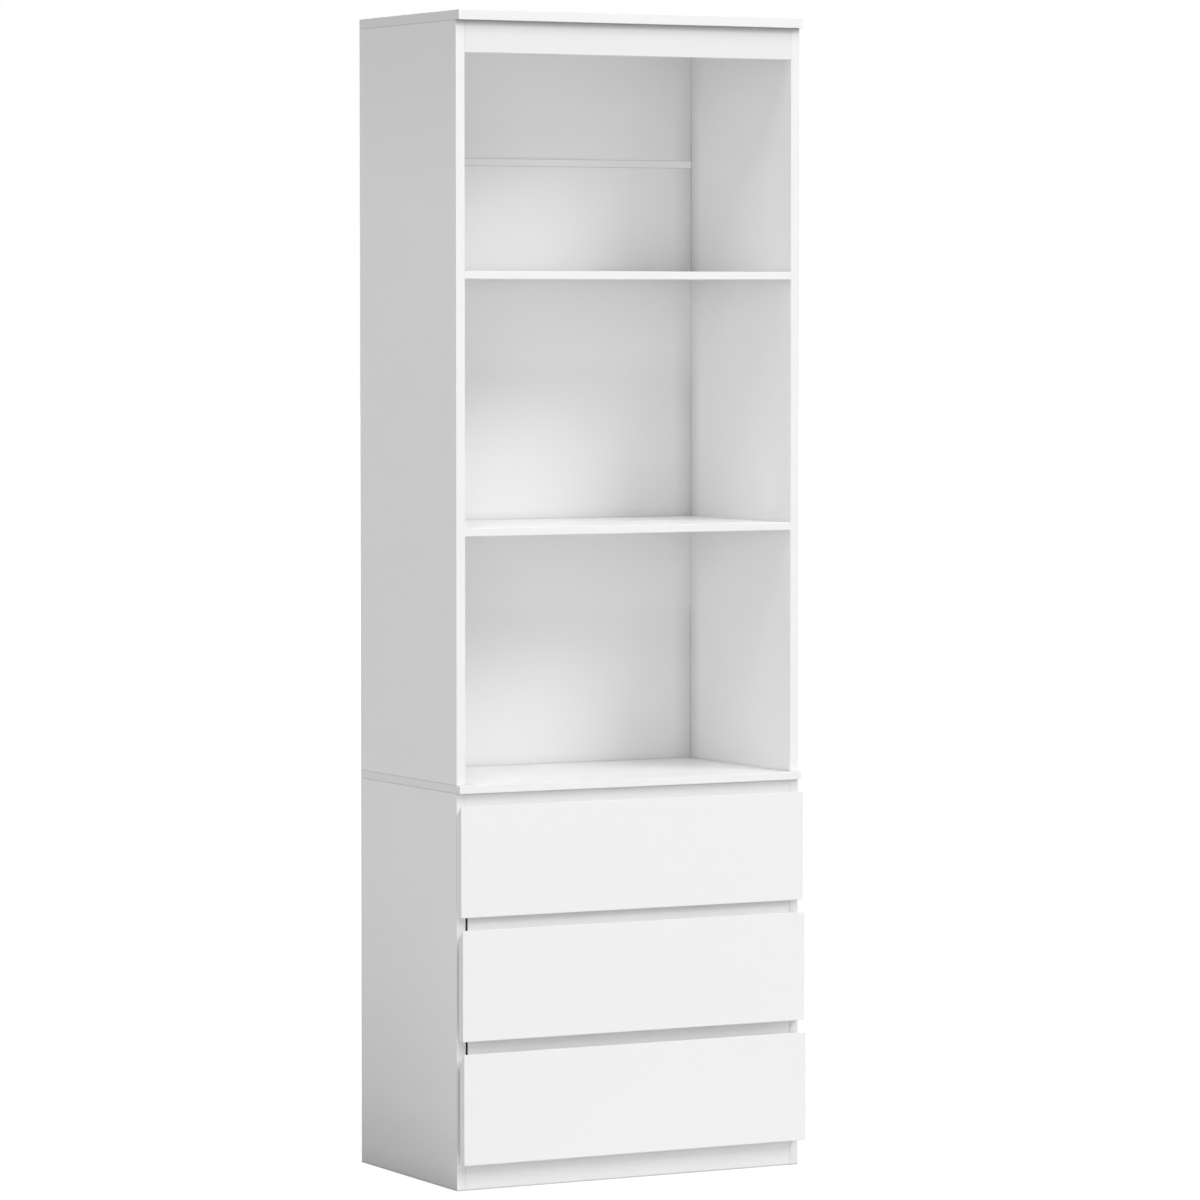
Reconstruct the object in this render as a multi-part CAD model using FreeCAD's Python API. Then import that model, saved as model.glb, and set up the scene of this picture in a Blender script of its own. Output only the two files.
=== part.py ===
import FreeCAD, Part
import math
import os

# A tall bookcase standing on a chest of three drawers, built from flat boards.
# Lengths are in millimetres. X runs to the right as seen from the front, Y to the
# back and Z up. The origin is on the floor, under the middle of the whole piece.

# ---------------------------------------------------------------- driving sizes

# Whole piece
width = 600.0                  # over the side panels
height = 1802.0                # floor to the top surface
side_depth = 340.0             # front edge to back edge of a side panel
chest_side_height = 610.5      # floor to the underside of the middle panel
panel_overhang = 11.0          # top and middle panels pass the sides' front edges

# Board thicknesses
side_thickness = 15.0
top_thickness = 15.0
middle_thickness = 12.0
shelf_thickness = 12.0
rail_thickness = 15.0
front_thickness = 15.0
box_thickness = 12.0           # sides and back of a drawer box
back_thickness = 3.0
bottom_thickness = 3.0         # bottom of a drawer box

# Bookcase bay
compartments = 3
fascia_height = 49.0
shelf_back_gap = 0.6           # shelf to back panel
back_inset = 12.4              # rear edge of the sides to the rear face of the backs
strip_centre_height = 1581.2   # where the two back panels of the bay meet
strip_height = 12.5
strip_skin = 1.0               # each flange and the web of the joining strip
strip_end_gap = 0.5

# Chest front
plinth_reveal = 42.0           # floor to the lowest drawer front
plinth_overlap = 8.0           # the front plinth runs up behind that front by this
rear_plinth_height = 50.0
rail_height = 45.0
rail_end_gap = 3.0             # the two drawer rails stop short of the left side
finger_gap = 19.0              # open space above each drawer front
finger_bevel = 14.0            # drop of the bevel behind a front's top edge
finger_lip = 1.0               # flat left on top of that edge
closed_gap = 0.75              # side edge to the back of a closed front
ajar = {"upper": 0.0, "middle": 5.5, "lower": 9.5}    # how far each drawer stands out

# Drawer boxes
box_floor_gap = 6.0            # rail below to the box
box_head_gap = 5.5             # box to the rail above
bottom_inset = 10.0            # lower edge of the box sides to the drawer bottom
front_groove = 6.0             # depth of the bottom's groove in the front
box_groove = 5.0               # depth of the bottom's groove in the box sides

# Grooves for the back panels
panel_groove = 3.0             # depth in the top, middle and side panels
groove_play = 0.2              # all round a panel in its groove
back_foot_gap = 15.0           # floor to the chest back

# Roller runners
side_gap = 12.5                # side panel to drawer box
runner_metal = 1.2
runner_bend = 1.5              # outer radius of a bend
runner_setback = 2.0           # front edge of the side to the cabinet runner
runner_front_play = 0.5        # drawer runner to the back of the front
runner_rear_room = 22.6        # cabinet runner to the chest back
hold_length = 75.0             # length still engaged when a drawer is full out
roller_radius = 9.0
roller_width = 6.8
roller_play = 0.3              # roller to track, and roller to its neighbours
pin_radius = 2.5
pin_play = 0.05
pin_head_radius = 4.0
pin_head = 0.8
roller_recess = 4.0            # front end of the cabinet runner to its roller
flange_play = 0.8              # cabinet runner to the drawer runner's flanges
track_width = 10.4             # lower flange of the cabinet runner
guard_width = 7.0              # upper flange of the cabinet runner
stop_height = 3.0
stop_length = 4.0

# Fittings
fitting_sides = 8              # flats on a bolt, dowel or screw hole
cam_sides = 12                 # flats on a cam or on the head of a pin
cam_radius = 6.0
cam_floor = 2.5                # wood left under a cam
cam_setback = 24.0             # end of a board to the cam in it
bolt_radius = 3.0
bolt_floor = 3.0               # wood left ahead of a bolt
dowel_radius = 3.0
dowel_grip = 18.0              # length in the end of a board
dowel_spacing = 32.0           # cam bolt to the dowel beside it
fitting_play = 0.1             # round a fitting in its hole
dowel_floor = 4.0              # wood left ahead of a dowel in a board's face
fitting_inset = 50.0           # edges of a board to its nearest fitting
plate_width = 11.0
plate_length = 90.0
plate_thickness = 1.5
plate_clip = 2.5               # off each corner of the plate
plate_hole_radius = 2.0
plate_hole_inset = 10.0

# Drawing
shortest_edge = 1e-6           # anything shorter is left out of an outline

# ---------------------------------------------------------------- derived places

drawer_names = tuple(ajar)
front_reach = closed_gap + front_thickness + max(ajar.values())
front_y = (front_reach - side_depth - plate_thickness) / 2
rear_y = front_y + side_depth
outer_x = width / 2
inner_x = outer_x - side_thickness
box_x = inner_x - side_gap
back_rear_y = rear_y - back_inset
back_front_y = back_rear_y - back_thickness
bay_floor_z = chest_side_height + middle_thickness
bay_roof_z = height - top_thickness
shelf_pitch = (bay_roof_z - bay_floor_z + shelf_thickness) / compartments
shelf_z = {
    name: bay_floor_z + shelf_pitch * (step + 1) - shelf_thickness
    for step, name in enumerate(("lower", "upper"))
}

drawer_space = chest_side_height - plinth_reveal
front_height = drawer_space / len(drawer_names) - finger_gap
drawer_pitch = front_height + finger_gap
front_z = {
    name: plinth_reveal + drawer_pitch * step
    for step, name in enumerate(reversed(drawer_names))
}
rail_overlap = (rail_height - finger_gap) / 2
box_lift = rail_overlap + box_floor_gap
top_rail_drop = rail_height - finger_gap
box_height = front_height - box_lift - top_rail_drop - box_head_gap
runner_length = back_front_y - front_y - runner_setback - runner_rear_room

track_height = 2 * (roller_radius + roller_play)
channel_height = track_height + 2 * runner_metal
flange_z = channel_height + flange_play
fixed_axle_z = flange_z - roller_play - roller_radius
fixed_axle_y = front_y + runner_setback + roller_recess + roller_radius
moving_axle_z = runner_metal + roller_play + roller_radius
channel_rear_y = front_y + runner_setback + runner_length
rear_stop_y = channel_rear_y - runner_metal
moving_axle_y = rear_stop_y - roller_play - roller_radius
runner_travel = runner_length - hold_length
stop_rise = roller_radius + roller_play - stop_height
stop_reach = math.sqrt(roller_radius**2 - stop_rise**2)
front_stop_y = moving_axle_y - runner_travel - stop_reach - roller_play
fixed_roller_near = runner_metal + flange_play
moving_roller_near = side_gap - runner_metal - flange_play - roller_width

X = FreeCAD.Vector(1, 0, 0)
Y = FreeCAD.Vector(0, 1, 0)
Z = FreeCAD.Vector(0, 0, 1)

nodes = {}                     # sub-part name: shape
cutters = {}                   # board name: tools that drill and pocket it
fittings = {"cam_locks": [], "cam_bolts": [], "wooden_dowels": []}

# ---------------------------------------------------------------- basic shapes


def block(x, y, z):
    """A box between pairs of coordinates."""
    corner = FreeCAD.Vector(x[0], y[0], z[0])
    return Part.makeBox(x[1] - x[0], y[1] - y[0], z[1] - z[0], corner)


def span(one, other):
    """A box between two opposite corners."""
    return block(*(sorted(pair) for pair in zip(one, other)))


def rod(radius, start, end):
    """A round bar from one point to another."""
    along = end - start
    return Part.makeCylinder(radius, along.Length, start, along)


def pin(radius, start, end, sides=fitting_sides):
    """A bar with flat sides, for the many fittings that lie inside the boards."""
    along = end - start
    sideways = along.cross(Z if abs(along.z) < along.Length / 2 else X).normalize()
    upward = along.cross(sideways).normalize()
    step = math.tau / sides
    turns = [step * (index + 0.5) for index in range(sides + 1)]
    corners = [
        start + (sideways * math.cos(turn) + upward * math.sin(turn)) * radius
        for turn in turns
    ]
    return Part.Face(Part.makePolygon(corners)).extrude(along)


def mirrored(shape):
    """The same shape on the other side of the middle plane."""
    return shape.mirror(FreeCAD.Vector(0, 0, 0), X)


def on_side(side, shape):
    """A shape modelled at the right, moved to the side that is named."""
    return shape if side == "right" else mirrored(shape)


def rounded_face(corners):
    """A flat face inside a closed outline of (point, corner radius) pairs."""
    starts = []
    ends = []
    arcs = []
    for index, (point, radius) in enumerate(corners):
        before = (corners[index - 1][0] - point).normalize()
        after = (corners[(index + 1) % len(corners)][0] - point).normalize()
        half_angle = before.getAngle(after) / 2
        reach = radius / math.tan(half_angle)
        sagitta = radius / math.sin(half_angle) - radius
        starts.append(point + before * reach)
        ends.append(point + after * reach)
        middle = point + (before + after).normalize() * sagitta
        arcs.append(Part.Arc(starts[-1], middle, ends[-1]).toShape() if radius else None)
    edges = []
    for index, arc in enumerate(arcs):
        following = starts[(index + 1) % len(starts)]
        if arc:
            edges.append(arc)
        if (following - ends[index]).Length > shortest_edge:
            edges.append(Part.makeLine(ends[index], following))
    return Part.Face(Part.Wire(edges))


# ---------------------------------------------------------------- fittings


def drill(board, tool):
    """Notes a tool that is cut from a board when the board is made."""
    cutters.setdefault(board, []).append(tool)


def finished(board, shape):
    """A board with its holes, pockets and grooves."""
    tools = cutters.get(board, [])
    return shape.cut(tools) if tools else shape


def fit_cam(host, mate, joint, inward, opening, host_thickness, mate_thickness):
    """A bolt screwed into the mate's face at the joint, and the cam that catches
    it, let into the host's face on the opening side."""
    centre = joint + inward * cam_setback
    mouth = centre + opening * (host_thickness / 2)
    floor = mouth - opening * (host_thickness - cam_floor)
    tip = joint - inward * (mate_thickness - bolt_floor)
    slot_half = bolt_radius + fitting_play
    across = inward.cross(opening)
    slot = span(centre + (across + opening) * slot_half,
                floor - across * slot_half - inward * cam_radius)
    fittings["cam_locks"].append(pin(cam_radius, floor, mouth, cam_sides).cut(slot))
    fittings["cam_bolts"].append(pin(bolt_radius, tip, centre))
    drill(host, pin(cam_radius + fitting_play, floor, mouth, cam_sides))
    drill(host, pin(slot_half, joint, centre))
    drill(mate, pin(slot_half, tip, joint))


def add_dowel(boards, start, end):
    """A dowel and its hole in each board that it enters."""
    fittings["wooden_dowels"].append(pin(dowel_radius, start, end))
    for board in boards:
        drill(board, pin(dowel_radius + fitting_play, start, end))


def fit_dowel(host, mate, joint, inward, gap=0.0):
    """A dowel from a side panel's inner face, over any gap, into a board's end."""
    tip = joint - inward * (side_thickness - dowel_floor)
    add_dowel((host, mate), tip, joint + inward * (gap + dowel_grip))


def depth_places(front, rear):
    """Front and rear places for fittings along a joint."""
    return front + fitting_inset, rear - fitting_inset


def fit_top_and_middle():
    """Cams under the top and middle panels, in the inner faces of the sides."""
    for side, sign in (("left", -1), ("right", 1)):
        middle_x = sign * (inner_x + side_thickness / 2)
        for level, roof_z, panel, thickness in (
            ("upper", bay_roof_z, "top_panel", top_thickness),
            ("lower", chest_side_height, "middle_panel", middle_thickness),
        ):
            for y in depth_places(front_y, back_front_y):
                joint = FreeCAD.Vector(middle_x, y, roof_z)
                fit_cam(f"{side}_{level}_side", panel, joint, -Z, X * -sign,
                        side_thickness, thickness)


def fit_shelves():
    """A cam near the front and a dowel near the back at each end of a shelf."""
    cam_y, dowel_y = depth_places(front_y, back_front_y)
    for name, z in shelf_z.items():
        for side, sign in (("left", -1), ("right", 1)):
            at_front = FreeCAD.Vector(sign * inner_x, cam_y, z + shelf_thickness / 2)
            at_rear = FreeCAD.Vector(sign * inner_x, dowel_y, z + shelf_thickness / 2)
            shelf = f"{name}_shelf"
            wall = f"{side}_upper_side"
            fit_cam(shelf, wall, at_front, X * -sign, -Z,
                    shelf_thickness, side_thickness)
            fit_dowel(shelf, wall, at_rear, X * -sign)


def fit_rails():
    """Dowels in the ends of the front rails, cams in the ends of the plinths."""
    rail_y = front_y + rail_thickness / 2
    rear_plinth_y = back_front_y - rail_thickness / 2
    for side, sign in (("left", -1), ("right", 1)):
        short = rail_end_gap if side == "left" else 0.0
        for rail, level, (low, high), gap in (
            ("top_front_rail", "upper", (bay_roof_z - fascia_height, bay_roof_z), 0.0),
            ("chest_front_rail", "lower", rail_levels("chest"), 0.0),
            ("upper_drawer_rail", "lower", rail_levels("upper"), short),
            ("lower_drawer_rail", "lower", rail_levels("lower"), short),
        ):
            joint = FreeCAD.Vector(sign * inner_x, rail_y, (low + high) / 2)
            fit_dowel(rail, f"{side}_{level}_side", joint, X * -sign, gap)
        for rail, y, tall, opening in (
            ("front_plinth", rail_y, plinth_reveal + plinth_overlap, Y),
            ("rear_plinth", rear_plinth_y, rear_plinth_height, -Y),
        ):
            joint = FreeCAD.Vector(sign * inner_x, y, tall / 2)
            fit_cam(rail, f"{side}_lower_side", joint, X * -sign, opening,
                    rail_thickness, side_thickness)


def fit_bay_to_chest():
    """A dowel near the front of each side, through the middle panel."""
    y = depth_places(front_y, back_front_y)[0] + dowel_spacing
    for side, sign in (("left", -1), ("right", 1)):
        x = sign * (inner_x + side_thickness / 2)
        boards = (f"{side}_lower_side", "middle_panel", f"{side}_upper_side")
        add_dowel(boards, FreeCAD.Vector(x, y, chest_side_height - dowel_grip),
                  FreeCAD.Vector(x, y, bay_floor_z + dowel_grip))


# ---------------------------------------------------------------- carcass


def back_groove_y():
    """Front and rear faces of the grooves that hold the back panels."""
    return back_front_y - groove_play, back_rear_y + groove_play


def make_panels():
    """Top and middle panels, each as wide as the piece, grooved for the backs."""
    y = (front_y - panel_overhang, rear_y)
    slot_x = (-inner_x - panel_groove, inner_x + panel_groove)
    top = block((-outer_x, outer_x), y, (bay_roof_z, height))
    top_groove = block(slot_x, back_groove_y(), (bay_roof_z, bay_roof_z + panel_groove))
    middle = block((-outer_x, outer_x), y, (chest_side_height, bay_floor_z))
    upper_groove = block(slot_x, back_groove_y(), (bay_floor_z - panel_groove, bay_floor_z))
    lower_groove = block(slot_x, back_groove_y(),
                         (chest_side_height, chest_side_height + panel_groove))
    nodes["top_panel"] = finished("top_panel", top.cut(top_groove))
    grooved = middle.cut([upper_groove, lower_groove])
    nodes["middle_panel"] = finished("middle_panel", grooved)


def make_sides():
    """Four side panels, two for the bay and two for the chest."""
    for level, z in (("upper", (bay_floor_z, bay_roof_z)), ("lower", (0.0, chest_side_height))):
        wall = block((inner_x, outer_x), (front_y, rear_y), z)
        groove = block((inner_x, inner_x + panel_groove), back_groove_y(), z)
        for side in ("left", "right"):
            name = f"{side}_{level}_side"
            nodes[name] = finished(name, on_side(side, wall.cut(groove)))


def make_shelves():
    """Two fixed shelves, flush with the front edges of the sides."""
    for name, z in shelf_z.items():
        shelf = block((-inner_x, inner_x), (front_y, back_front_y - shelf_back_gap),
                      (z, z + shelf_thickness))
        nodes[f"{name}_shelf"] = finished(f"{name}_shelf", shelf)


def rail_levels(name):
    """Lower and upper edges of a rail of the chest front."""
    if name == "chest":
        return chest_side_height - rail_height, chest_side_height
    drawer_above = {"upper": "upper", "lower": "middle"}[name]
    centre = front_z[drawer_above] - finger_gap / 2
    return centre - rail_height / 2, centre + rail_height / 2


def make_rails():
    """Fascia, chest rails and plinths between the sides."""
    y = (front_y, front_y + rail_thickness)
    full_x = (-inner_x, inner_x)
    short_x = (-inner_x + rail_end_gap, inner_x)
    plinth_z = (0.0, plinth_reveal + plinth_overlap)
    rear_y_range = (back_front_y - rail_thickness, back_front_y)
    for name, x, depth, z in (
        ("top_front_rail", full_x, y, (bay_roof_z - fascia_height, bay_roof_z)),
        ("chest_front_rail", full_x, y, rail_levels("chest")),
        ("upper_drawer_rail", short_x, y, rail_levels("upper")),
        ("lower_drawer_rail", short_x, y, rail_levels("lower")),
        ("front_plinth", full_x, y, plinth_z),
        ("rear_plinth", full_x, rear_y_range, (0.0, rear_plinth_height)),
    ):
        nodes[name] = finished(name, block(x, depth, z))


def make_backs():
    """Thin back panels in the grooves, and the strip that joins the bay's two."""
    reach = panel_groove - groove_play
    x = (-inner_x - reach, inner_x + reach)
    y = (back_front_y, back_rear_y)
    joint_low = strip_centre_height - strip_skin / 2
    joint_high = strip_centre_height + strip_skin / 2
    nodes["upper_back_panel"] = block(x, y, (joint_high, bay_roof_z + reach))
    nodes["main_back_panel"] = block(x, y, (bay_floor_z - reach, joint_low))
    nodes["chest_back_panel"] = block(x, y, (back_foot_gap, chest_side_height + reach))
    strip_x = (-inner_x + strip_end_gap, inner_x - strip_end_gap)
    strip_z = (strip_centre_height - strip_height / 2, strip_centre_height + strip_height / 2)
    front_flange = block(strip_x, (back_front_y - strip_skin, back_front_y), strip_z)
    rear_flange = block(strip_x, (back_rear_y, back_rear_y + strip_skin), strip_z)
    web = block(strip_x, (back_front_y, back_rear_y), (joint_low, joint_high))
    nodes["back_joining_strip"] = front_flange.fuse([rear_flange, web]).removeSplitter()


def tie_plate(centre_x):
    """A plate with clipped corners and two screw holes, on the sides' rear edges."""
    centre_z = (chest_side_height + bay_floor_z) / 2
    half_width, half_length = plate_width / 2, plate_length / 2
    outline = [
        FreeCAD.Vector(centre_x + right * (half_width - cut_x), rear_y,
                       centre_z + up * (half_length - cut_z))
        for right, up, cut_x, cut_z in (
            (-1, -1, 0, plate_clip), (-1, -1, plate_clip, 0),
            (1, -1, plate_clip, 0), (1, -1, 0, plate_clip),
            (1, 1, 0, plate_clip), (1, 1, plate_clip, 0),
            (-1, 1, plate_clip, 0), (-1, 1, 0, plate_clip),
        )
    ]
    plate = Part.Face(Part.makePolygon(outline + outline[:1])).extrude(Y * plate_thickness)
    for up in (-1, 1):
        z = centre_z + up * (half_length - plate_hole_inset)
        start = FreeCAD.Vector(centre_x, rear_y, z)
        plate = plate.cut(pin(plate_hole_radius, start, start + Y * plate_thickness))
    return plate


def make_tie_plates():
    """A plate at each side, over the joint of its upper and lower panels."""
    centre_x = inner_x + side_thickness / 2
    plates = [tie_plate(-centre_x), tie_plate(centre_x)]
    nodes["back_tie_plates"] = Part.makeCompound(plates)


# ---------------------------------------------------------------- drawers


def box_floor(name):
    """Lower edge of a drawer box and of its cabinet runners."""
    return front_z[name] + box_lift


def make_drawer_front(name, shift):
    """A front as wide as the chest, bevelled behind its top edge as a finger grip."""
    y_face = front_y - closed_gap - front_thickness - shift
    y_rear = y_face + front_thickness
    z_low = front_z[name]
    z_high = z_low + front_height
    outline = [
        FreeCAD.Vector(-outer_x, y_face, z_low),
        FreeCAD.Vector(-outer_x, y_rear, z_low),
        FreeCAD.Vector(-outer_x, y_rear, z_high - finger_bevel),
        FreeCAD.Vector(-outer_x, y_face + finger_lip, z_high),
        FreeCAD.Vector(-outer_x, y_face, z_high),
    ]
    profile = Part.Face(Part.makePolygon(outline + outline[:1]))
    z_groove = box_floor(name) + bottom_inset
    inside = box_x - box_thickness + box_groove
    groove = block((-inside, inside), (y_rear - front_groove, y_rear),
                   (z_groove - groove_play, z_groove + bottom_thickness + groove_play))
    nodes[f"{name}_drawer_front"] = profile.extrude(X * width).cut(groove)


def make_drawer_box(name, shift):
    """Two sides, a back and a bottom that slides into grooves behind the front."""
    y_front = front_y - closed_gap - shift
    y_rear = y_front + runner_length
    z_low = box_floor(name)
    z_high = z_low + box_height
    z_bottom = z_low + bottom_inset
    z_over = z_bottom + bottom_thickness
    inner = box_x - box_thickness
    side = block((inner, box_x), (y_front, y_rear), (z_low, z_high))
    groove = block((inner, inner + box_groove), (y_front, y_rear),
                   (z_bottom - groove_play, z_over + groove_play))
    for hand in ("left", "right"):
        nodes[f"{name}_drawer_{hand}_side"] = on_side(hand, side.cut(groove))
    nodes[f"{name}_drawer_back"] = block(
        (-inner, inner), (y_rear - box_thickness, y_rear), (z_over, z_high))
    reach = inner + box_groove - groove_play
    nodes[f"{name}_drawer_bottom"] = block(
        (-reach, reach), (y_front - front_groove + groove_play, y_rear), (z_bottom, z_over))


# ---------------------------------------------------------------- roller runners


def runner_outline(corners, y, floor_z):
    """A flat face from (distance off the side panel, height, corner radius)."""
    return rounded_face([
        (FreeCAD.Vector(inner_x - off, y, floor_z + up), radius)
        for off, up, radius in corners
    ])


def cabinet_runner(floor_z):
    """A channel on the right side panel, open to the drawer. Its upper flange is
    cut away over the front roller, and a stop ends the track at front and rear."""
    metal = runner_metal
    start = front_y + runner_setback
    outline = [
        (0, 0, runner_bend),
        (track_width, 0, 0),
        (track_width, metal, 0),
        (metal, metal, 0),
        (metal, channel_height - metal, 0),
        (guard_width, channel_height - metal, 0),
        (guard_width, channel_height, 0),
        (0, channel_height, runner_bend),
    ]
    channel = runner_outline(outline, start, floor_z).extrude(Y * runner_length)
    recess = 2 * (roller_recess + roller_radius)
    roof_z = floor_z + channel_height
    opening = block((inner_x - guard_width, inner_x - runner_bend),
                    (start, start + recess), (roof_z - metal, roof_z))
    track_x = (inner_x - track_width, inner_x - metal)
    track_z = floor_z + metal
    rear_stop = block(track_x, (rear_stop_y, channel_rear_y),
                      (track_z, track_z + moving_axle_z))
    front_stop = block(track_x, (front_stop_y - stop_length, front_stop_y),
                       (track_z, track_z + stop_height))
    return channel.cut(opening).fuse([rear_stop, front_stop]).removeSplitter()


def drawer_runner(floor_z, shift):
    """Steel that wraps the lower edge of the right box side and reaches out over
    the cabinet runner, with a flange that rides on the front roller."""
    metal = runner_metal
    tip = metal + flange_play
    outline = [
        (side_gap + box_thickness, -metal, 0),
        (side_gap - metal, -metal, runner_bend),
        (side_gap - metal, flange_z, 0),
        (tip, flange_z, 0),
        (tip, flange_z + metal, 0),
        (side_gap, flange_z + metal, runner_bend),
        (side_gap, 0, 0),
        (side_gap + box_thickness, 0, 0),
    ]
    start = front_y - closed_gap + runner_front_play - shift
    length = runner_length - runner_front_play
    return runner_outline(outline, start, floor_z).extrude(Y * length)


def roller(near, axle_y, axle_z):
    """A nylon roller at the right, its outer end this near to the side panel."""
    start = FreeCAD.Vector(inner_x - near, axle_y, axle_z)
    end = start - X * roller_width
    return rod(roller_radius, start, end).cut(rod(pin_radius + pin_play, start, end))


def headed_pin(foot, near, axle_y, axle_z):
    """A pin from a runner's web, past a roller that starts at near, to its head."""
    root = FreeCAD.Vector(inner_x - foot, axle_y, axle_z)
    if foot < near:
        last = near + roller_width + roller_play
        step = pin_head
    else:
        last = near - roller_play
        step = -pin_head
    neck = FreeCAD.Vector(inner_x - last, axle_y, axle_z)
    head = pin(pin_head_radius, neck, neck - X * step, cam_sides)
    return rod(pin_radius, root, neck).fuse(head)


def both_sides(shapes):
    """Pieces at the right and their mirror images, as solids of one sub-part."""
    return Part.makeCompound([each for shape in shapes for each in (mirrored(shape), shape)])


def make_cabinet_runners():
    """Runners, rollers and pins on the lower side panels."""
    pins = []
    for name in drawer_names:
        floor_z = box_floor(name)
        axle_z = floor_z + fixed_axle_z
        runner = cabinet_runner(floor_z)
        for side in ("left", "right"):
            nodes[f"{name}_{side}_cabinet_runner"] = on_side(side, runner)
        wheel = roller(fixed_roller_near, fixed_axle_y, axle_z)
        nodes[f"{name}_cabinet_rollers"] = both_sides([wheel])
        pins.append(headed_pin(runner_metal, fixed_roller_near, fixed_axle_y, axle_z))
    nodes["cabinet_roller_pins"] = both_sides(pins)


def make_drawer_runners(name, shift):
    """Runners, rollers and pins on one drawer box."""
    floor_z = box_floor(name)
    axle_y = moving_axle_y - shift
    axle_z = floor_z + moving_axle_z
    runner = drawer_runner(floor_z, shift)
    for side in ("left", "right"):
        nodes[f"{name}_{side}_drawer_runner"] = on_side(side, runner)
    wheel = roller(moving_roller_near, axle_y, axle_z)
    nodes[f"{name}_drawer_rollers"] = both_sides([wheel])
    pin = headed_pin(side_gap - runner_metal, moving_roller_near, axle_y, axle_z)
    nodes[f"{name}_drawer_roller_pins"] = both_sides([pin])


# ---------------------------------------------------------------- assembly

fit_top_and_middle()
fit_shelves()
fit_rails()
fit_bay_to_chest()
make_panels()
make_sides()
make_shelves()
make_rails()
make_backs()
make_tie_plates()
make_cabinet_runners()
for drawer, opened in ajar.items():
    make_drawer_front(drawer, opened)
    make_drawer_box(drawer, opened)
    make_drawer_runners(drawer, opened)
for group, solids in fittings.items():
    nodes[group] = Part.makeCompound(solids)

os.makedirs("parts", exist_ok=True)
for node, shape in nodes.items():
    shape.exportStep(f"parts/{node}.step")
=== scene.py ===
import math

import bpy
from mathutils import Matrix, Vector


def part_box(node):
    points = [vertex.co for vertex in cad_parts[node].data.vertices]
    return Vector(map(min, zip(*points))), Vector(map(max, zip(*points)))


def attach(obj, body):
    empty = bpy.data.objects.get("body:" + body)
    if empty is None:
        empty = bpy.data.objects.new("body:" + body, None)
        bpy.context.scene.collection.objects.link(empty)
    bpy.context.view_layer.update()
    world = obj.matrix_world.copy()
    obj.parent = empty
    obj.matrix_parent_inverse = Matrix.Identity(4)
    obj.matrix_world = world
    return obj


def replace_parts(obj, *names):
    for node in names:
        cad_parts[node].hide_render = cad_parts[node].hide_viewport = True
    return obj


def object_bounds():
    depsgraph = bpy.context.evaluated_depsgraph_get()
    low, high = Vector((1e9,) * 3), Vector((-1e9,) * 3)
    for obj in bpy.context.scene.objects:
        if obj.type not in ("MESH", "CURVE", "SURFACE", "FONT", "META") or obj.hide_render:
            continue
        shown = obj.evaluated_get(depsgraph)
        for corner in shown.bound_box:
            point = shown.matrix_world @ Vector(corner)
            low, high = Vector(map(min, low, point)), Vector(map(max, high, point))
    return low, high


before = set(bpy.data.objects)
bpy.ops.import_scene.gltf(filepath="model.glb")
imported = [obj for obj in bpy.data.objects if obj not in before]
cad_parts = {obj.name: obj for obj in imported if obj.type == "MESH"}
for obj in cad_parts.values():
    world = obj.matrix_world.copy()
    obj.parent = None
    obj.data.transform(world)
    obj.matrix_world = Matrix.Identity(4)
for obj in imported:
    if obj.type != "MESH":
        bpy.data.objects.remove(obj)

# A white bookcase over three drawers: flat melamine boards with edge strips, thin
# fibreboard backs, steel roller runners, and the screws and tacks that hold it all.
# Lengths are in metres, in the row frame.

cad_low, cad_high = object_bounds()

DRAWERS = ("upper", "middle", "lower")
SIDES = {"left": -1.0, "right": 1.0}       # side: its sign along x
CEILINGS = ("lower_shelf", "upper_shelf", "top_panel")
MILLIMETRE = 0.001


# ---------------------------------------------------------------- node trees


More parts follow.
